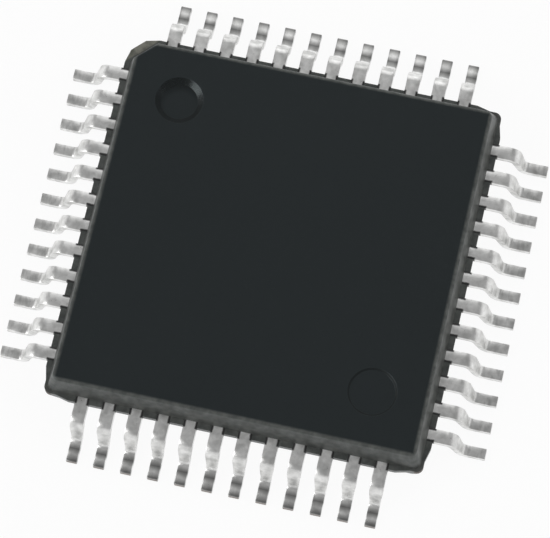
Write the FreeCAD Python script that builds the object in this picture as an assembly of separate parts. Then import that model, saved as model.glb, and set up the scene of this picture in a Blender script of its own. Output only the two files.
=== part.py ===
import FreeCAD, Part
import math
import os

# Thin quad flat pack: a moulded body with gull-wing leads on all four sides, in millimetres.
# The feet stand on z = 0, +Z is up, and the Z axis runs through the middle of the body.
# The first lead's corner is at -X +Y. The leads count anticlockwise, seen from above.

# Lead pattern
LEADS_PER_SIDE = 12
LEAD_PITCH = 0.50
END_MARGIN = 0.73           # from the last lead's centre line to the side of the body
LEAD_REACH = 1.02           # from the side of the body to the toe

# Moulded body
STANDOFF = 0.10             # underside above the seating plane
BODY_HEIGHT = 1.00
UPPER_STEP = 0.05           # upper half set back from the lower half, on each side
UPPER_DRAFT = 14.0          # degrees
LOWER_DRAFT = 12.0          # degrees
LOWER_CHAMFER = 0.23        # lower half's corner cut off beside the first lead, at the parting plane
UPPER_CHAMFER = 0.43        # the same corner of the upper half
CORNER_RADIUS = 0.13        # the other corners
RIM_RADIUS = 0.05           # rounded edge round the top face
RIM_BEVEL = 0.03            # bevelled edge round the underside

# Resin web between the leads, in the thickness of the lead frame
WEB_REACH = 0.06            # beyond the lower half
WEB_END = 0.25              # from the last lead's centre line to where it starts to slope in

# Round marks in the top face and the underside
MARK_RADIUS = 0.45
MARK_INSET = 1.16           # from the sides of the body to the mark's centre
MARK_WALL_ANGLE = 55.0      # degrees, wall of a mark off upright
PIN1_MARK_DEPTH = 0.08
EJECTOR_MARK_DEPTH = 0.03

# Lead frame sheet, and the formed part of a lead
METAL = 0.127
SHOULDER_WIDTH = 0.25
FOOT_WIDTH = 0.20
FOOT_FLAT = 0.34
LEG_ANGLE = 75.0            # degrees, leg off level
BEND_RADIUS = 0.10          # inside of each bend

# Hidden part of a lead
TIP_WIDTH = 0.13
TIP_GAP = 0.20              # from the paddle's side to the lead tips
TIP_CORNER = 0.20           # from the paddle's corner to the last tip's centre line, along its side
KNEE_INSET = 0.33           # from the side of the body to where the lead turns inward

# Die paddle and its tie bars
PADDLE_SIZE = 3.70
PADDLE_DOWNSET = 0.17
TIE_WIDTH = 0.20
TIE_ANGLE = 45.0            # degrees, slope of the downset
TIE_LEVEL = 0.10            # level stretch from the paddle's corner to the first bend

# Silicon die and what holds it
DIE_SIZE = 3.00
DIE_THICKNESS = 0.25
ATTACH_THICKNESS = 0.02
ATTACH_MARGIN = 0.05

# Bond wires
WIRE_DIAMETER = 0.025
WIRE_SIDES = 4              # flats round a wire
WIRE_RISE = 0.13            # above the die
PAD_INSET = 0.08            # from the die's side to the row of bonds
PAD_CORNER = 0.30           # from the die's corner to the last bond, along its side
STITCH_INSET = 0.12         # from the lead's tip to where the wire lands

# Worked out from the sizes above
SIDES = 4
PATTERN_HALF = (LEADS_PER_SIDE - 1) * LEAD_PITCH / 2
LOWER_HALF = PATTERN_HALF + END_MARGIN
UPPER_HALF = LOWER_HALF - UPPER_STEP
WEB_HALF = LOWER_HALF + WEB_REACH
TOE = LOWER_HALF + LEAD_REACH
BODY_TOP = STANDOFF + BODY_HEIGHT
LEAD_MIDDLE = STANDOFF + BODY_HEIGHT / 2
LEAD_TOP = LEAD_MIDDLE + METAL / 2
LEAD_UNDERSIDE = LEAD_MIDDLE - METAL / 2
TIP = PADDLE_SIZE / 2 + TIP_GAP
KNEE = LOWER_HALF - KNEE_INSET
PADDLE_MIDDLE = LEAD_MIDDLE - PADDLE_DOWNSET
PADDLE_TOP = PADDLE_MIDDLE + METAL / 2
DIE_UNDERSIDE = PADDLE_TOP + ATTACH_THICKNESS
DIE_TOP = DIE_UNDERSIDE + DIE_THICKNESS
MARK_PLACE = LOWER_HALF - MARK_INSET

V = FreeCAD.Vector
CENTRE = V(0, 0, 0)
UP = V(0, 0, 1)
MITRED = 1                  # a sweep's corners are mitred, not rounded


def spread(index, half_width):
    """Place of one lead along a side, when the side's leads fill plus and minus half_width."""
    return half_width * (2 * index / (LEADS_PER_SIDE - 1) - 1)


def turned(shape, degrees):
    """A copy of the shape, turned about the Z axis."""
    copy = shape.copy()
    copy.rotate(CENTRE, UP, degrees)
    return copy


def ring_face(corners):
    """Flat face inside a closed ring of corners."""
    return Part.Face(Part.makePolygon(corners + corners[:1]))


def prism(points, bottom, top):
    """Upright prism on a closed outline of (x, y) corners."""
    return ring_face([V(x, y, bottom) for x, y in points]).extrude(UP * (top - bottom))


def square_block(size, bottom, top):
    """Square block about the Z axis."""
    corner = V(-size / 2, -size / 2, bottom)
    return Part.makeBox(size, size, top - bottom, corner)


def rounded_line(points, radii):
    """Edges along a bent line, with each inner corner rounded by its own radius."""
    edges = []
    start = points[0]
    for before, corner, after, radius in zip(points, points[1:], points[2:], radii):
        arriving = (corner - before).normalize()
        leaving = (after - corner).normalize()
        half_turn = arriving.getAngle(leaving) / 2
        setback = radius * math.tan(half_turn)
        inward = (leaving - arriving).normalize()
        middle = corner + inward * (radius / math.cos(half_turn) - radius)
        arc_start = corner - arriving * setback
        arc_end = corner + leaving * setback
        edges.append(Part.makeLine(start, arc_start))
        edges.append(Part.Arc(arc_start, middle, arc_end).toShape())
        start = arc_end
    edges.append(Part.makeLine(start, points[-1]))
    return edges


def offset_line(points, distance):
    """A bent line in the XZ plane, moved upward by distance at right angles to each run."""
    runs = [(end - start).normalize() for start, end in zip(points, points[1:])]
    normals = [V(-run.z, 0, run.x) for run in runs]
    moved = [points[0] + normals[0] * distance]
    for corner, before, after in zip(points[1:], normals, normals[1:]):
        across = before + after
        moved.append(corner + across * (2 * distance / across.Length ** 2))
    moved.append(points[-1] + normals[-1] * distance)
    return moved


def bent_sheet(centre_line, outer_bends, width):
    """Sheet bent along a centre line in the XZ plane. outer_bends says where its top is outside."""
    top = offset_line(centre_line, METAL / 2)
    underside = offset_line(centre_line, -METAL / 2)
    wide = BEND_RADIUS + METAL
    top_radii = [wide if outer else BEND_RADIUS for outer in outer_bends]
    under_radii = [BEND_RADIUS if outer else wide for outer in outer_bends]
    edges = rounded_line(top, top_radii) + rounded_line(underside, under_radii)
    edges.append(Part.makeLine(top[0], underside[0]))
    edges.append(Part.makeLine(top[-1], underside[-1]))
    section = Part.Face(Part.Wire(Part.__sortEdges__(edges)))
    section.translate(V(0, -width / 2, 0))
    return section.extrude(V(0, width, 0))


def bend_setback(turn_degrees):
    """Distance from a bend's corner to where its curve starts, on the centre line."""
    return (BEND_RADIUS + METAL / 2) * math.tan(math.radians(turn_degrees / 2))


def leg_corners():
    """Distances from the middle of the package to the two corners of a lead's leg."""
    foot_corner = TOE - FOOT_FLAT - bend_setback(LEG_ANGLE)
    drop = LEAD_MIDDLE - METAL / 2
    shoulder_corner = foot_corner - drop / math.tan(math.radians(LEG_ANGLE))
    return shoulder_corner, foot_corner


def foot_trim():
    """Tools that narrow a lead down its leg, from the width of its shoulder to that of its foot."""
    shoulder_corner, foot_corner = leg_corners()
    slope = math.radians(LEG_ANGLE)
    down = V(math.cos(slope), 0, -math.sin(slope))
    across = V(math.sin(slope), 0, math.cos(slope))
    leg_start = V(shoulder_corner, 0, LEAD_MIDDLE) + down * bend_setback(LEG_ANGLE)
    leg_end = V(foot_corner, 0, METAL / 2) - down * bend_setback(LEG_ANGLE)
    beyond = leg_end + down * LEAD_REACH
    tools = []
    for side in (V(0, -1, 0), V(0, 1, 0)):
        corners = [
            leg_start + side * (SHOULDER_WIDTH / 2),
            leg_end + side * (FOOT_WIDTH / 2),
            beyond + side * (FOOT_WIDTH / 2),
            beyond + side * SHOULDER_WIDTH,
            leg_start + side * SHOULDER_WIDTH,
        ]
        outline = ring_face(corners)
        outline.translate(across * -LEAD_REACH)
        tools.append(outline.extrude(across * (2 * LEAD_REACH)))
    return tools


def gull_wing():
    """Formed end of a lead, from its knee inside the body to its toe, along +X."""
    shoulder_corner, foot_corner = leg_corners()
    centre_line = [
        V(KNEE, 0, LEAD_MIDDLE),
        V(shoulder_corner, 0, LEAD_MIDDLE),
        V(foot_corner, 0, METAL / 2),
        V(TOE, 0, METAL / 2),
    ]
    return bent_sheet(centre_line, (True, False), SHOULDER_WIDTH).cut(foot_trim())


def lead_centre(index, distance):
    """Sideways place of a lead's centre line, at a distance from the middle of the package."""
    outside = spread(index, PATTERN_HALF)
    inside = spread(index, PADDLE_SIZE / 2 - TIP_CORNER)
    share = (distance - TIP) / (KNEE - TIP)
    return inside + (outside - inside) * share


def hidden_tip(index):
    """Flat inner end of one lead, fanned in from its knee to its tip beside the paddle."""
    stations = [(TIP, TIP_WIDTH), (KNEE, SHOULDER_WIDTH)]
    right = [(s, lead_centre(index, s) - width / 2) for s, width in stations]
    left = [(s, lead_centre(index, s) + width / 2) for s, width in stations]
    return prism(right + left[::-1], LEAD_UNDERSIDE, LEAD_TOP)


def make_leads():
    """All the leads, in counting order from the first lead's corner."""
    formed_end = gull_wing()
    one_side = []
    for index in range(LEADS_PER_SIDE):
        wing = formed_end.copy()
        wing.translate(V(0, spread(index, PATTERN_HALF), 0))
        one_side.append(wing.fuse(hidden_tip(index)).removeSplitter().Solids[0])
    return [turned(lead, 180 + 90 * side) for side in range(SIDES) for lead in one_side]


def cut_square(half, leg, height):
    """Corners of the body's plan, anticlockwise from the one that is cut off at -X +Y."""
    return [
        V(-half, half - leg, height),
        V(-half, -half, height),
        V(half, -half, height),
        V(half, half, height),
        V(leg - half, half, height),
    ]


def moulded_block(half, chamfer, draft, parting, face):
    """Block with the body's plan, all its walls drafted in from the parting plane to a face."""
    shrink = abs(face - parting) * math.tan(math.radians(draft))
    low = cut_square(half, chamfer, parting)
    high = cut_square(half - shrink, chamfer - (2 - math.sqrt(2)) * shrink, face)
    if face < parting:
        low, high = high, low
    faces = [ring_face(low[::-1]), ring_face(high)]
    for side in range(len(low)):
        faces.append(ring_face([low[side - 1], low[side], high[side], high[side - 1]]))
    block = Part.Solid(Part.Shell(faces))
    uprights = [edge for edge in block.Edges if at_whole_corner(edge.CenterOfMass)]
    return block.makeFillet(CORNER_RADIUS, uprights)


def at_whole_corner(point):
    """True over the three corners of the body that aren't cut off."""
    off_diagonal = abs(abs(point.x) - abs(point.y))
    return off_diagonal < CORNER_RADIUS / 10 and point.y - point.x < LOWER_HALF


def rim(block, face):
    """Edges all round a level face of a block."""
    return [edge for edge in block.Edges if abs(edge.CenterOfMass.z - face) < RIM_BEVEL / 10]


def upper_half():
    """Half of the moulding above the lead frame, its top face with a rounded rim."""
    block = moulded_block(UPPER_HALF, UPPER_CHAMFER, UPPER_DRAFT, LEAD_TOP, BODY_TOP)
    return block.makeFillet(RIM_RADIUS, rim(block, BODY_TOP))


def lower_half():
    """Half of the moulding below the lead frame, its underside with a bevelled rim."""
    block = moulded_block(LOWER_HALF, LOWER_CHAMFER, LOWER_DRAFT, LEAD_UNDERSIDE, STANDOFF)
    return block.makeChamfer(RIM_BEVEL, rim(block, STANDOFF))


def web_strip():
    """Web along one side of the body, along +X. Past the last leads it slopes in to the cut corner."""
    end = PATTERN_HALF + WEB_END
    root = LOWER_HALF - LOWER_CHAMFER
    right = [(0, -root), (LOWER_HALF, -root), (WEB_HALF, -end)]
    left = [(x, -y) for x, y in reversed(right)]
    return prism(right + left, LEAD_UNDERSIDE, LEAD_TOP)


def mark(x, y, face, depth):
    """Tool that sinks a round mark from a face into the body. A negative depth goes down."""
    wall = abs(depth) * math.tan(math.radians(MARK_WALL_ANGLE))
    direction = UP if depth > 0 else -UP
    return Part.makeCone(MARK_RADIUS, MARK_RADIUS - wall, abs(depth), V(x, y, face), direction)


def mould_marks():
    """First lead's mark and two shallow ejector marks, one on each face."""
    return [
        mark(-MARK_PLACE, MARK_PLACE, BODY_TOP, -PIN1_MARK_DEPTH),
        mark(MARK_PLACE, -MARK_PLACE, BODY_TOP, -EJECTOR_MARK_DEPTH),
        mark(0, 0, STANDOFF, EJECTOR_MARK_DEPTH),
    ]


def make_body(held):
    """Moulding, with its halves, web and marks, cast round all the pieces that it holds."""
    core = moulded_block(LOWER_HALF, LOWER_CHAMFER, 0, LEAD_UNDERSIDE, LEAD_TOP)
    strip = web_strip()
    webs = [turned(strip, 90 * side) for side in range(SIDES)]
    whole = core.fuse([upper_half(), lower_half()] + webs).removeSplitter()
    return whole.cut(mould_marks()).cut(held)


def tie_bar():
    """Bent strip from the middle of the paddle out past a corner of the body, along +X."""
    paddle_corner = PADDLE_SIZE / math.sqrt(2)
    first_bend = paddle_corner + TIE_LEVEL
    second_bend = first_bend + PADDLE_DOWNSET / math.tan(math.radians(TIE_ANGLE))
    centre_line = [
        V(0, 0, PADDLE_MIDDLE),
        V(first_bend, 0, PADDLE_MIDDLE),
        V(second_bend, 0, LEAD_MIDDLE),
        V(LOWER_HALF * math.sqrt(2), 0, LEAD_MIDDLE),
    ]
    top = offset_line(centre_line, METAL / 2)
    underside = offset_line(centre_line, -METAL / 2)
    section = ring_face(top + underside[::-1])
    section.translate(V(0, -TIE_WIDTH / 2, 0))
    return section.extrude(V(0, TIE_WIDTH, 0))


def make_die_paddle():
    """Plate under the die, with a tie bar to each corner, cut flush with the body."""
    plate = square_block(PADDLE_SIZE, PADDLE_MIDDLE - METAL / 2, PADDLE_TOP)
    tie = tie_bar()
    ties = [turned(tie, 45 + 90 * side) for side in range(SIDES)]
    spider = plate.fuse(ties).removeSplitter()
    return spider.common(moulded_block(LOWER_HALF, LOWER_CHAMFER, 0, STANDOFF, BODY_TOP))


def make_die_attach():
    """Thin bed of adhesive, a little larger than the die."""
    return square_block(DIE_SIZE + 2 * ATTACH_MARGIN, PADDLE_TOP, DIE_UNDERSIDE)


def make_silicon_die():
    return square_block(DIE_SIZE, DIE_UNDERSIDE, DIE_TOP)


def bond_wire(index):
    """Wire from a bond on the die, up over its loop and down to the top of a lead's tip."""
    stitch = TIP + STITCH_INSET
    bond = V(DIE_SIZE / 2 - PAD_INSET, spread(index, DIE_SIZE / 2 - PAD_CORNER), DIE_TOP)
    landing = V(stitch, lead_centre(index, stitch), LEAD_TOP)
    loop_top = bond + UP * WIRE_RISE
    overrun = landing + (landing - loop_top).normalize() * WIRE_DIAMETER
    flats = [math.tau * side / WIRE_SIDES for side in range(WIRE_SIDES)]
    ring = [bond + V(math.cos(turn), math.sin(turn), 0) * (WIRE_DIAMETER / 2) for turn in flats]
    section = Part.makePolygon(ring + ring[:1])
    path = Part.makePolygon([bond, loop_top, overrun])
    wire = path.makePipeShell([section], True, False, MITRED)
    frame_block = square_block(2 * TOE, LEAD_UNDERSIDE, LEAD_TOP)
    return wire.cut(frame_block)


def make_bond_wires():
    """A wire for every lead, as one group."""
    one_side = [bond_wire(index) for index in range(LEADS_PER_SIDE)]
    wires = [turned(wire, 180 + 90 * side) for side in range(SIDES) for wire in one_side]
    return Part.Compound([solid for wire in wires for solid in wire.Solids])


def export(name, shape):
    shape.exportStep(os.path.join("parts", name + ".step"))


def main():
    os.makedirs("parts", exist_ok=True)
    leads = make_leads()
    paddle = make_die_paddle()
    attach = make_die_attach()
    die = make_silicon_die()
    wires = make_bond_wires()
    body = make_body(leads + [paddle, attach, die] + wires.Solids)
    export("body", body)
    export("die_paddle", paddle)
    export("die_attach", attach)
    export("silicon_die", die)
    export("bond_wires", wires)
    for number, lead in enumerate(leads, start=1):
        export("lead_%02d" % number, lead)


main()
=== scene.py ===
import bpy
import math
from mathutils import Matrix, Vector


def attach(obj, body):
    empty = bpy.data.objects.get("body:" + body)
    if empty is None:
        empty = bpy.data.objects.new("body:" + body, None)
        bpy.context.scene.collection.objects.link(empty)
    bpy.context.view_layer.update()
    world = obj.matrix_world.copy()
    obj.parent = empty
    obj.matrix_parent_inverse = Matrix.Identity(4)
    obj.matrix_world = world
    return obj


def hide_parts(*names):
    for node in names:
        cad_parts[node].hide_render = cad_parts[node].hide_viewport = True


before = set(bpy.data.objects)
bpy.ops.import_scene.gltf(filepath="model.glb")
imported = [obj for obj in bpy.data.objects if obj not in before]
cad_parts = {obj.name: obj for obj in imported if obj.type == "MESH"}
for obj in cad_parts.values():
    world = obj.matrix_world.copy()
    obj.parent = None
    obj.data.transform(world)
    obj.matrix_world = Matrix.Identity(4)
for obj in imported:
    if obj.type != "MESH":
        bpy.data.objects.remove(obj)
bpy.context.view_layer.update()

# Looks of a thin quad flat pack. Shapes are worked in millimetres and brought to metres at the end.
MM = 0.001

# The moulding, as in the solid model
BODY_HALF = 3.48          # middle to side at the parting plane
TOP_HALF = 3.30           # middle to edge of the top face
BODY_TOP = 1.10
UPPER_CUT = 0.43          # corner cut off the upper half
WEB_HALF = 3.54           # middle to edge of the web between the leads
MARK_PLACE = 2.32         # round marks, from the middle along X and Y
FIRST_MARK_DEPTH = 0.08
OTHER_MARK_DEPTH = 0.03

# The leads, as in the solid model
SIDES = 4
LEADS_PER_SIDE = 12
PITCH = 0.50
TOE = 4.50                # middle to toe
METAL = 0.127
LEAD_MIDDLE = 0.60        # height of the shoulders' middle
SHOULDER_WIDTH = 0.25
FOOT_WIDTH = 0.20
FOOT_FLAT = 0.34
LEG_ANGLE = math.radians(75)
BEND_RADIUS = 0.10
KNEE = 3.15               # where the fan towards the paddle starts
TIP = 2.05
TIP_WIDTH = 0.13
TIP_SPREAD = 1.65         # middle of a side to the middle of its last tip

# Finish of the meshes
EDGE_ROUND = 0.014
BEND_STEPS = 10
SHARP_BEND = math.radians(30)
WELD_REACH = 0.0002

# Colours of the moulding, dark and light
FACE_RESIN = (0.0058, 0.0077, 0.0086, 1), (0.0128, 0.0160, 0.0176, 1)
# Paler resin for the sides: painted sheen, standing in for their reflection of the floor
SHEEN_PAINTED_RESIN = (0.036, 0.038, 0.036, 1), (0.116, 0.120, 0.113, 1)
BROKEN_RESIN = (0.075, 0.074, 0.060, 1), (0.200, 0.198, 0.168, 1)
SHADED_RESIN = (0.0010, 0.0015, 0.0018, 1)
RESIN_FLASH = (0.022, 0.022, 0.022, 1)
RESIN_SKIN = (0.062, 0.065, 0.061, 1)

# Colours of the metals and the die, dark and light
TIN = (0.72, 0.72, 0.71, 1), (0.97, 0.97, 0.96, 1)
STAINED_TIN = (0.30, 0.305, 0.295, 1)
# Grey for the scratches and for the painted shade bands across the feet
SCRATCH_AND_SHADE_GREY = (0.11, 0.11, 0.108, 1)
CUT_TOE = (0.17, 0.135, 0.115, 1)
COPPER = (0.36, 0.19, 0.12, 1), (0.56, 0.34, 0.23, 1)
CUT_COPPER = (0.055, 0.042, 0.034, 1), (0.115, 0.085, 0.066, 1)
SILVER_PASTE = (0.30, 0.29, 0.28, 1), (0.62, 0.61, 0.60, 1)
CIRCUIT = (0.05, 0.06, 0.09, 1), (0.17, 0.17, 0.20, 1)
GOLD = (0.82, 0.58, 0.22, 1), (0.95, 0.72, 0.34, 1)

# Studio, in metres
FLOOR_SIZE = 1.4
FLOOR_DROP = 0.000004     # keeps the soles and the floor apart
WALL_RADIUS = 0.40
WALL_HEIGHT = 0.24
LAMP_SIZE = 0.24
LAMP_DISTANCE = 0.38
STAGE_IN_VIEW = 0.94
FLOOR_MIRRORED = 0.98
WALL_MIRRORED = 0.58
SKY_LEVEL = 0.37
SKY_IN_VIEW = 0.60        # added to the sky behind the object


class Reading:
    """A value that changes over a surface, written in sums like a number."""

    def __init__(self, finish, socket):
        self.finish = finish
        self.socket = socket

    def maths(self, operation, *values, clamped=False):
        settings = {"operation": operation, "use_clamp": clamped}
        return self.finish.make("ShaderNodeMath", settings, dict(enumerate(values)))

    def beside(self, output):
        """Another output of the same node."""
        return Reading(self.finish, self.socket.node.outputs[output])

    def __add__(self, other):
        return self.maths("ADD", self, other)

    def __radd__(self, other):
        return self.maths("ADD", other, self)

    def __sub__(self, other):
        return self.maths("SUBTRACT", self, other)

    def __rsub__(self, other):
        return self.maths("SUBTRACT", other, self)

    def __mul__(self, other):
        return self.maths("MULTIPLY", self, other)

    def __rmul__(self, other):
        return self.maths("MULTIPLY", other, self)

    def __abs__(self):
        return self.maths("ABSOLUTE", self)

    def above(self, level, blur):
        """0 below the level and 1 above it, blurred over a width."""
        return self.maths("MULTIPLY", self - (level - blur / 2), 1 / blur, clamped=True)

    def near(self, level, reach):
        """1 at the level, falling to 0 a reach away from it."""
        return self.maths("SUBTRACT", 1, abs(self - level) * (1 / reach), clamped=True)

    def fraction(self):
        return self.maths("FRACT", self)

    def larger(self, other):
        return self.maths("MAXIMUM", self, other)

    def smaller(self, other):
        return self.maths("MINIMUM", self, other)


class Finish:
    """One material, with its surface shader and the nodes that feed it."""

    def __init__(self, name):
        self.material = bpy.data.materials.new(name)
        self.material.use_nodes = True
        self.tree = self.material.node_tree
        self.surface = self.tree.nodes["Principled BSDF"]

    def make(self, kind, settings, inputs, output=0):
        """Adds a node with its settings, and then the values or links of its sockets."""
        node = self.tree.nodes.new(kind)
        for name, value in settings.items():
            setattr(node, name, value)
        for name, value in inputs.items():
            self.feed(node.inputs[name], value)
        return Reading(self, node.outputs[output])

    def feed(self, socket, value):
        if isinstance(value, Reading):
            self.tree.links.new(value.socket, socket)
        else:
            socket.default_value = value

    def set(self, **values):
        """Sets or links the surface's sockets, with _ for each space in a name."""
        for name, value in values.items():
            self.feed(self.surface.inputs[name.replace("_", " ")], value)

    def show(self, shader):
        """Puts a shader on the surface in place of the usual one."""
        output = self.tree.nodes["Material Output"]
        self.tree.links.new(shader.socket, output.inputs["Surface"])

    def place(self):
        """Position on the object, in millimetres."""
        here = self.make("ShaderNodeTexCoord", {}, {}, "Object")
        return self.make("ShaderNodeVectorMath", {"operation": "SCALE"}, {0: here, "Scale": 1 / MM})

    def distance(self, place, centre):
        """How far a position is from a point."""
        ends = {0: place, 1: centre}
        return self.make("ShaderNodeVectorMath", {"operation": "DISTANCE"}, ends, "Value")

    def axes(self, place):
        """The three parts of a position."""
        x = self.make("ShaderNodeSeparateXYZ", {}, {0: place})
        return x, x.beside("Y"), x.beside("Z")

    def stretched(self, place, x, y, z):
        scale = {0: place, 1: (x, y, z)}
        return self.make("ShaderNodeVectorMath", {"operation": "MULTIPLY"}, scale)

    def grain(self, place, size, detail=2.0, roughness=0.5, distortion=0.0):
        """Cloudy noise from 0 to 1, with lumps of about the given size in millimetres."""
        values = {
            "Vector": place,
            "Scale": 0.5 / size,
            "Detail": detail,
            "Roughness": roughness,
            "Distortion": distortion,
        }
        return self.make("ShaderNodeTexNoise", {}, values)

    def blend(self, share, first, second):
        """Colour between two colours."""
        return self.make("ShaderNodeMix", {"data_type": "RGBA"}, {0: share, 6: first, 7: second}, 2)

    def relief(self, height, depth, under=None):
        """Surface normal from a height of 0 to 1, with its full depth in millimetres."""
        values = {"Height": height, "Distance": depth * MM}
        if under:
            values["Normal"] = under
        return self.make("ShaderNodeBump", {}, values)


def broken_resin(finish, place):
    """Colour of the rough resin on the ledge where the gate broke off."""
    blotch = finish.grain(place, 0.06, 2.0).above(0.5, 0.35)
    return finish.blend(blotch, *BROKEN_RESIN)


def mark_shading(finish, place, x, y, z, reach):
    """Where the round marks are in shade, and where their walls are dull."""
    first_floor = BODY_TOP - FIRST_MARK_DEPTH
    other_floor = BODY_TOP - OTHER_MARK_DEPTH
    corner_zone = 2 * MARK_PLACE - 0.7
    sunk = z.above(first_floor - 0.01, 0.006) * (1 - z.above(BODY_TOP - 0.004, 0.004))
    sunk = sunk * (1 - reach.above(3.0, 0.1))
    lit_spot = finish.distance(place, (0.05 - MARK_PLACE, MARK_PLACE - 0.11, first_floor))
    first_wall = z.above(first_floor + 0.005, 0.01).larger(lit_spot.above(0.36, 0.16))
    first_mark = (y - x).above(corner_zone, 0.1) * first_wall
    other_mark = (x - y).above(corner_zone, 0.1) * z.above(other_floor + 0.003, 0.003)
    shade = sunk * first_mark.larger(other_mark)
    dull = sunk * other_mark.larger(first_mark * (1 - y.above(MARK_PLACE + 0.05, 0.1)))
    return shade, dull


def moulding_compound():
    """Charcoal resin with shaded marks, sides painted paler as painted sheen, and a rough ledge at
    the gate.
    """
    finish = Finish("moulding_compound")
    place = finish.place()
    x, y, z = finish.axes(place)
    reach = abs(x).larger(abs(y))
    fine = finish.grain(place, 0.012, 3.0, 0.6)
    coarse = finish.grain(place, 0.06, 2.0)
    cloud = finish.grain(place, 0.9, 2.0)
    sides = reach.above(TOP_HALF - 0.03, 0.04)
    gate = (y - x - 0.05 * coarse).above(2 * BODY_HALF - UPPER_CUT - 0.02, 0.03)
    gate = gate * z.above(LEAD_MIDDLE, 0.02)
    shade, dull = mark_shading(finish, place, x, y, z, reach)
    tone = 0.55 * fine + 0.25 * coarse + 0.2 * cloud
    face = finish.blend(tone, *FACE_RESIN)
    # The sides get paler resin: painted sheen in place of their reflection of the floor, with
    # random blotches
    painted_side_sheen = finish.blend(0.5 * tone + 0.5 * coarse.above(0.5, 0.35), *SHEEN_PAINTED_RESIN)
    shaded = finish.blend(shade, face, SHADED_RESIN)
    moulded = finish.blend(sides, shaded, painted_side_sheen)
    finish.set(
        Base_Color=finish.blend(gate, moulded, broken_resin(finish, place)),
        Roughness=0.31 + 0.12 * fine + 0.25 * gate - 0.10 * shade + 0.38 * dull,
        IOR=1.45,
        Specular_Tint=(0.86, 0.98, 1, 1),
    )
    grained = finish.relief(fine, 0.0008)
    finish.set(Normal=finish.relief(coarse * (1 + 4 * gate), 0.0015, grained))
    return finish.material


def tin_plating():
    """Matt tin plate, with resin flash at the body, painted shade bands and scratches on the feet,
    and bare cut toes.
    """
    finish = Finish("tin_plating")
    place = finish.place()
    x, y, z = finish.axes(place)
    crystal = finish.grain(place, 0.010, 2.0)
    smear = finish.grain(place, 0.055, 3.0, 0.6, 0.4)
    stain = finish.grain(place, 0.09, 1.0).above(0.56, 0.25)
    reach = abs(x).larger(abs(y))
    along_side = abs(x).smaller(abs(y))
    off_centre = abs((along_side * (1 / PITCH)).fraction() - 0.5) * PITCH
    at_web = 1 - (reach - 0.05 * smear).above(WEB_HALF, 0.02)
    flash = (off_centre + 0.03 * smear).above(0.10, 0.02) * at_web
    end_rows = (abs(y) - abs(x)).above(0, 0.01)
    # Dark bands across the feet near their inner end and at the toe are painted shade, much heavier
    # on the rows of the ±Y sides
    bars = reach.near(TOE - 0.25, 0.10) + reach.near(TOE - 0.03, 0.10)
    low = 1 - z.above(METAL + 0.02, 0.01)
    painted_foot_shade = bars * low * (0.15 + 0.65 * end_rows)
    toe = reach.above(TOE - 0.004, 0.004) * (1 - z.above(METAL * 0.86, 0.01))
    scuffed = z.above(METAL + 0.03, 0.04) * (1 - z.above(LEAD_MIDDLE, 0.06))
    scratches = finish.grain(finish.stretched(place, 1, 0.3, 1), 0.035, 2.0).above(0.55, 0.2)
    scratched = scratches * reach.above(TOE - FOOT_FLAT, 0.03) * low * (1 - end_rows)
    plate = finish.blend(smear.above(0.5, 0.5), *TIN)
    stained = finish.blend(0.35 * stain, plate, STAINED_TIN)
    scratched_and_shaded = finish.blend(painted_foot_shade.larger(0.25 * scratched), stained, SCRATCH_AND_SHADE_GREY)
    cut = finish.blend(toe, scratched_and_shaded, CUT_TOE)
    finish.set(
        Base_Color=finish.blend(flash, cut, RESIN_FLASH),
        Metallic=1 - flash,
        Roughness=0.20 + 0.08 * crystal + 0.14 * smear + 0.22 * scuffed,
    )
    finish.set(Normal=finish.relief(0.4 * crystal + 0.6 * smear, 0.0024))
    return finish.material


def frame_copper():
    """Bare copper alloy of the die paddle, with dull cut ends and resin over the tie bars' tops."""
    finish = Finish("frame_copper")
    place = finish.place()
    x, y, z = finish.axes(place)
    rolled = finish.grain(finish.stretched(place, 1, 12, 1), 0.08, 3.0)
    covered = z.above(LEAD_MIDDLE + METAL / 2 - 0.003, 0.002)
    gate = (y - x).above(2 * BODY_HALF - UPPER_CUT, 0.03)
    skin = finish.blend(gate, RESIN_SKIN, broken_resin(finish, place))
    dull = (abs(x) + abs(y)).above(2 * TOP_HALF, 0.05)
    bare = finish.blend(rolled, *COPPER)
    end = finish.blend(rolled, *CUT_COPPER)
    finish.set(
        Base_Color=finish.blend(covered, finish.blend(dull, bare, end), skin),
        Metallic=(1 - covered) * (1 - 0.5 * dull),
        Roughness=0.30 + 0.15 * rolled + 0.15 * dull,
    )
    finish.set(Normal=finish.relief(rolled, 0.001))
    return finish.material


def silver_epoxy():
    """Silver-filled adhesive, a dull paste with flakes in it."""
    finish = Finish("silver_epoxy")
    flakes = finish.grain(finish.place(), 0.01, 4.0, 0.7)
    finish.set(
        Base_Color=finish.blend(flakes, *SILVER_PASTE),
        Metallic=flakes,
        Roughness=0.45 + 0.25 * flakes,
    )
    finish.set(Normal=finish.relief(flakes, 0.002))
    return finish.material


def silicon():
    """Polished silicon with a faint grid of circuit blocks."""
    finish = Finish("silicon")
    place = finish.place()
    square = {"distance": "CHEBYCHEV"}
    blocks = finish.make("ShaderNodeTexVoronoi", square, {"Vector": place, "Scale": 4.0})
    tint = finish.grain(place, 0.4)
    finish.set(
        Base_Color=finish.blend(blocks, *CIRCUIT),
        Metallic=0.6,
        Roughness=0.16 + 0.12 * tint,
    )
    finish.set(Normal=finish.relief(blocks, 0.0006))
    return finish.material


def gold_wire():
    """Drawn gold wire."""
    finish = Finish("gold_wire")
    drawn = finish.grain(finish.place(), 0.01)
    finish.set(
        Base_Color=finish.blend(drawn, *GOLD),
        Metallic=1.0,
        Roughness=0.18 + 0.10 * drawn,
    )
    finish.set(Normal=finish.relief(drawn, 0.0004))
    return finish.material


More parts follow.
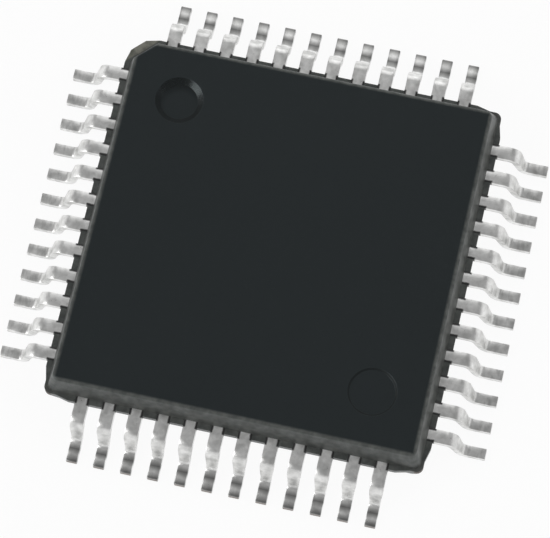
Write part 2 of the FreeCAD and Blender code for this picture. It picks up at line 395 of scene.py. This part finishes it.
def pale_stage(name, mirrored):
    """White stage, clear from beneath, with one level in view and another in reflections.

    The share of paper in the view keeps the object's shadow.
    """
    finish = Finish(name)
    camera = finish.make("ShaderNodeLightPath", {}, {}, "Is Camera Ray")
    seen = camera.larger(camera.beside("Is Transmission Ray"))
    reflected = camera.beside("Is Glossy Ray")
    paper = finish.make("ShaderNodeBsdfDiffuse", {}, {"Color": (0.85, 0.85, 0.85, 1)})
    white = finish.make("ShaderNodeEmission", {}, {"Color": (1, 1, 1, 1), "Strength": 1.0})
    level = STAGE_IN_VIEW * seen + mirrored * reflected
    top = finish.make("ShaderNodeMixShader", {}, {0: level, 1: paper, 2: white})
    beneath = finish.make("ShaderNodeNewGeometry", {}, {}, "Backfacing")
    clear = finish.make("ShaderNodeBsdfTransparent", {}, {})
    finish.show(finish.make("ShaderNodeMixShader", {}, {0: beneath, 1: top, 2: clear}))
    return finish.material


def edit(piece):
    """Opens a piece for editing with nothing of it selected."""
    bpy.ops.object.mode_set(mode="OBJECT")
    bpy.ops.object.select_all(action="DESELECT")
    piece.select_set(True)
    bpy.context.view_layer.objects.active = piece
    bpy.context.tool_settings.mesh_select_mode = (False, False, True)
    bpy.ops.object.mode_set(mode="EDIT")
    bpy.ops.mesh.select_all(action="DESELECT")


def pick(piece, wanted):
    """Selects the faces whose centre and normal are wanted, and leaves the piece open."""
    edit(piece)
    bpy.ops.object.mode_set(mode="OBJECT")
    for face in piece.data.polygons:
        face.select = wanted(face.center, face.normal)
    bpy.ops.object.mode_set(mode="EDIT")


def extrude(x, y, z):
    bpy.ops.mesh.extrude_region_move(TRANSFORM_OT_translate={"value": (x, y, z)})


def formed_lead():
    """One lead along +X on its own centre line, in millimetres, from unfanned tip to toe."""
    middle_radius = BEND_RADIUS + METAL / 2
    down = Vector((math.cos(LEG_ANGLE), 0, -math.sin(LEG_ANGLE)))
    outward = Vector((math.sin(LEG_ANGLE), 0, math.cos(LEG_ANGLE)))
    setback = middle_radius * math.tan(LEG_ANGLE / 2)
    foot_corner = TOE - FOOT_FLAT - setback
    drop = LEAD_MIDDLE - METAL / 2
    shoulder_corner = foot_corner - drop / math.tan(LEG_ANGLE)
    leg = drop / math.sin(LEG_ANGLE) - 2 * setback
    shoulder_end = shoulder_corner - setback

    bpy.ops.object.select_all(action="DESELECT")
    middle = (KNEE + shoulder_end) / 2
    bpy.ops.mesh.primitive_cube_add(size=1, location=(middle, 0, LEAD_MIDDLE))
    lead = bpy.context.object
    bpy.ops.transform.resize(value=(shoulder_end - KNEE, SHOULDER_WIDTH, METAL))
    bpy.ops.object.transform_apply(location=True, rotation=True, scale=True)

    pick(lead, lambda centre, normal: normal.x > 0.9)
    axis = (shoulder_end, 0, LEAD_MIDDLE - middle_radius)
    bpy.ops.mesh.spin(steps=BEND_STEPS, angle=-LEG_ANGLE, center=axis, axis=(0, 1, 0))
    extrude(*(down * leg))
    bpy.ops.transform.resize(value=(1, FOOT_WIDTH / SHOULDER_WIDTH, 1), center_override=(0, 0, 0))
    leg_end = Vector((foot_corner, 0, METAL / 2)) - down * setback
    axis = leg_end + outward * middle_radius
    bpy.ops.mesh.spin(steps=BEND_STEPS, angle=LEG_ANGLE, center=axis, axis=(0, 1, 0))
    extrude(FOOT_FLAT, 0, 0)

    pick(lead, lambda centre, normal: normal.x < -0.9 and centre.x < KNEE + 0.01)
    extrude(TIP - KNEE, 0, 0)
    bpy.ops.transform.resize(value=(1, TIP_WIDTH / SHOULDER_WIDTH, 1), center_override=(0, 0, 0))
    bpy.ops.object.mode_set(mode="OBJECT")

    rounding = lead.modifiers.new("edges", "BEVEL")
    rounding.width = EDGE_ROUND
    rounding.segments = 2
    rounding.limit_method = "ANGLE"
    rounding.angle_limit = math.radians(50)
    bpy.ops.object.modifier_apply(modifier=rounding.name)
    bpy.ops.object.shade_smooth_by_angle(angle=math.radians(40))
    return lead


def spread(index, half_width):
    """Sideways place of one lead, when a side's leads fill plus and minus half_width."""
    return half_width * (2 * index / (LEADS_PER_SIDE - 1) - 1)


def fanned_lead(pattern, index):
    """A copy of the pattern lead at its place along a side, its tip fanned in to the paddle."""
    lead = pattern.copy()
    lead.data = pattern.data.copy()
    bpy.context.scene.collection.objects.link(lead)
    outside = spread(index, PITCH * (LEADS_PER_SIDE - 1) / 2)
    inside = spread(index, TIP_SPREAD)
    lead.data.transform(Matrix.Translation((0, outside, 0)))
    edit(lead)
    bpy.ops.object.mode_set(mode="OBJECT")
    for face in lead.data.polygons:
        face.select = False
    for edge in lead.data.edges:
        edge.select = False
    for point in lead.data.vertices:
        point.select = point.co.x < (TIP + KNEE) / 2
    bpy.context.tool_settings.mesh_select_mode = (True, False, False)
    bpy.ops.object.mode_set(mode="EDIT")
    bpy.ops.transform.translate(value=(0, inside - outside, 0))
    bpy.ops.object.mode_set(mode="OBJECT")
    return lead


def plated_leads(plating):
    """All the leads, each standing for its solid."""
    pattern = formed_lead()
    one_side = [fanned_lead(pattern, index) for index in range(LEADS_PER_SIDE)]
    for side in range(SIDES):
        turn = Matrix.Rotation(math.radians(180 + 90 * side), 4, "Z")
        for index, model in enumerate(one_side):
            number = side * LEADS_PER_SIDE + index + 1
            lead = model.copy()
            lead.data = model.data.copy()
            lead.name = "plated_lead_%02d" % number
            lead.data.name = lead.name
            bpy.context.scene.collection.objects.link(lead)
            lead.data.transform(Matrix.Scale(MM, 4) @ turn)
            lead.data.materials.clear()
            lead.data.materials.append(plating)
            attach(lead, "root")
            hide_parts("lead_%02d" % number)
    for model in one_side + [pattern]:
        bpy.data.objects.remove(model)


def finish_solid(name, material):
    """Gives a solid its material, smooth shading across its gentle bends, and flat faces."""
    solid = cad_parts[name]
    solid.data.materials.clear()
    solid.data.materials.append(material)
    solid.data.polygons.foreach_set("use_smooth", [True] * len(solid.data.polygons))
    joined = solid.modifiers.new("joined", "WELD")
    joined.merge_threshold = WELD_REACH * MM
    creased = solid.modifiers.new("creased", "EDGE_SPLIT")
    creased.split_angle = SHARP_BEND
    solid.modifiers.new("flat_faces", "WEIGHTED_NORMAL")


def area_lamp(name, azimuth, elevation, power):
    """Square soft lamp that faces the object from a direction in degrees: 0 is -Y and 90 is +X."""
    lamp = bpy.data.lights.new(name, "AREA")
    lamp.shape = "SQUARE"
    lamp.size = LAMP_SIZE
    lamp.energy = power
    holder = bpy.data.objects.new(name, lamp)
    bpy.context.scene.collection.objects.link(holder)
    turn, lift = math.radians(azimuth), math.radians(elevation)
    level = math.cos(lift)
    direction = Vector((math.sin(turn) * level, -math.cos(turn) * level, math.sin(lift)))
    holder.location = direction * LAMP_DISTANCE
    holder.rotation_euler = direction.to_track_quat("Z", "Y").to_euler()
    return holder


def stage_and_light():
    """Pale floor and ring wall, soft lamps and a plain sky."""
    bpy.ops.object.select_all(action="DESELECT")
    bpy.ops.mesh.primitive_plane_add(size=FLOOR_SIZE, location=(0, 0, -FLOOR_DROP))
    floor = bpy.context.object
    floor.name = "floor"
    floor.data.materials.append(pale_stage("pale_floor", FLOOR_MIRRORED))
    bpy.ops.mesh.primitive_cylinder_add(
        vertices=96,
        radius=WALL_RADIUS,
        depth=WALL_HEIGHT,
        end_fill_type="NOTHING",
        location=(0, 0, WALL_HEIGHT / 2 - MM),
    )
    wall = bpy.context.object
    wall.name = "backdrop"
    bpy.ops.object.mode_set(mode="EDIT")
    bpy.ops.mesh.select_all(action="SELECT")
    bpy.ops.mesh.flip_normals()
    bpy.ops.object.mode_set(mode="OBJECT")
    wall.data.materials.append(pale_stage("pale_backdrop", WALL_MIRRORED))

    area_lamp("lamp_left", 297, 34, 0.52)
    area_lamp("lamp_right", 110, 30, 0.42).visible_glossy = False
    area_lamp("lamp_far", 188, 40, 0.14)

    world = bpy.context.scene.world or bpy.data.worlds.new("sky")
    bpy.context.scene.world = world
    world.use_nodes = True
    sky = world.node_tree.nodes["Background"]
    sky.inputs["Color"].default_value = (1, 1, 1, 1)
    light_path = world.node_tree.nodes.new("ShaderNodeLightPath")
    level = world.node_tree.nodes.new("ShaderNodeMath")
    level.operation = "MULTIPLY_ADD"
    level.inputs[1].default_value = SKY_IN_VIEW
    level.inputs[2].default_value = SKY_LEVEL
    world.node_tree.links.new(light_path.outputs["Is Camera Ray"], level.inputs[0])
    world.node_tree.links.new(level.outputs[0], sky.inputs["Strength"])


def photo_camera():
    """Camera at the photograph's place, nearly overhead and turned a little to the right."""
    azimuth, elevation, roll = 0.31391, 1.26132, -0.09218
    target = Vector((0.0782, -0.3408, 0.7000)) * MM
    distance = 62.897 * MM
    focal_pixels, frame_pixels = 3473.5, 550
    back = Vector((
        math.sin(azimuth) * math.cos(elevation),
        -math.cos(azimuth) * math.cos(elevation),
        math.sin(elevation),
    ))
    right = (-back).cross(Vector((0, 0, 1))).normalized()
    up = right.cross(-back)
    rolled_right = right * math.cos(roll) + up * math.sin(roll)
    rolled_up = up * math.cos(roll) - right * math.sin(roll)
    camera = bpy.data.cameras.new("photo_camera")
    camera.sensor_width = 36
    camera.lens = focal_pixels / frame_pixels * camera.sensor_width
    camera.clip_start = 0.005
    camera.clip_end = 10
    holder = bpy.data.objects.new("photo_camera", camera)
    bpy.context.scene.collection.objects.link(holder)
    turn = Matrix((rolled_right, rolled_up, back)).transposed().to_4x4()
    holder.matrix_world = Matrix.Translation(target + back * distance) @ turn
    bpy.context.scene.camera = holder


finish_solid("body", moulding_compound())
finish_solid("die_paddle", frame_copper())
finish_solid("die_attach", silver_epoxy())
finish_solid("silicon_die", silicon())
finish_solid("bond_wires", gold_wire())
plated_leads(tin_plating())
stage_and_light()
photo_camera()

bpy.context.scene.view_settings.view_transform = "Standard"
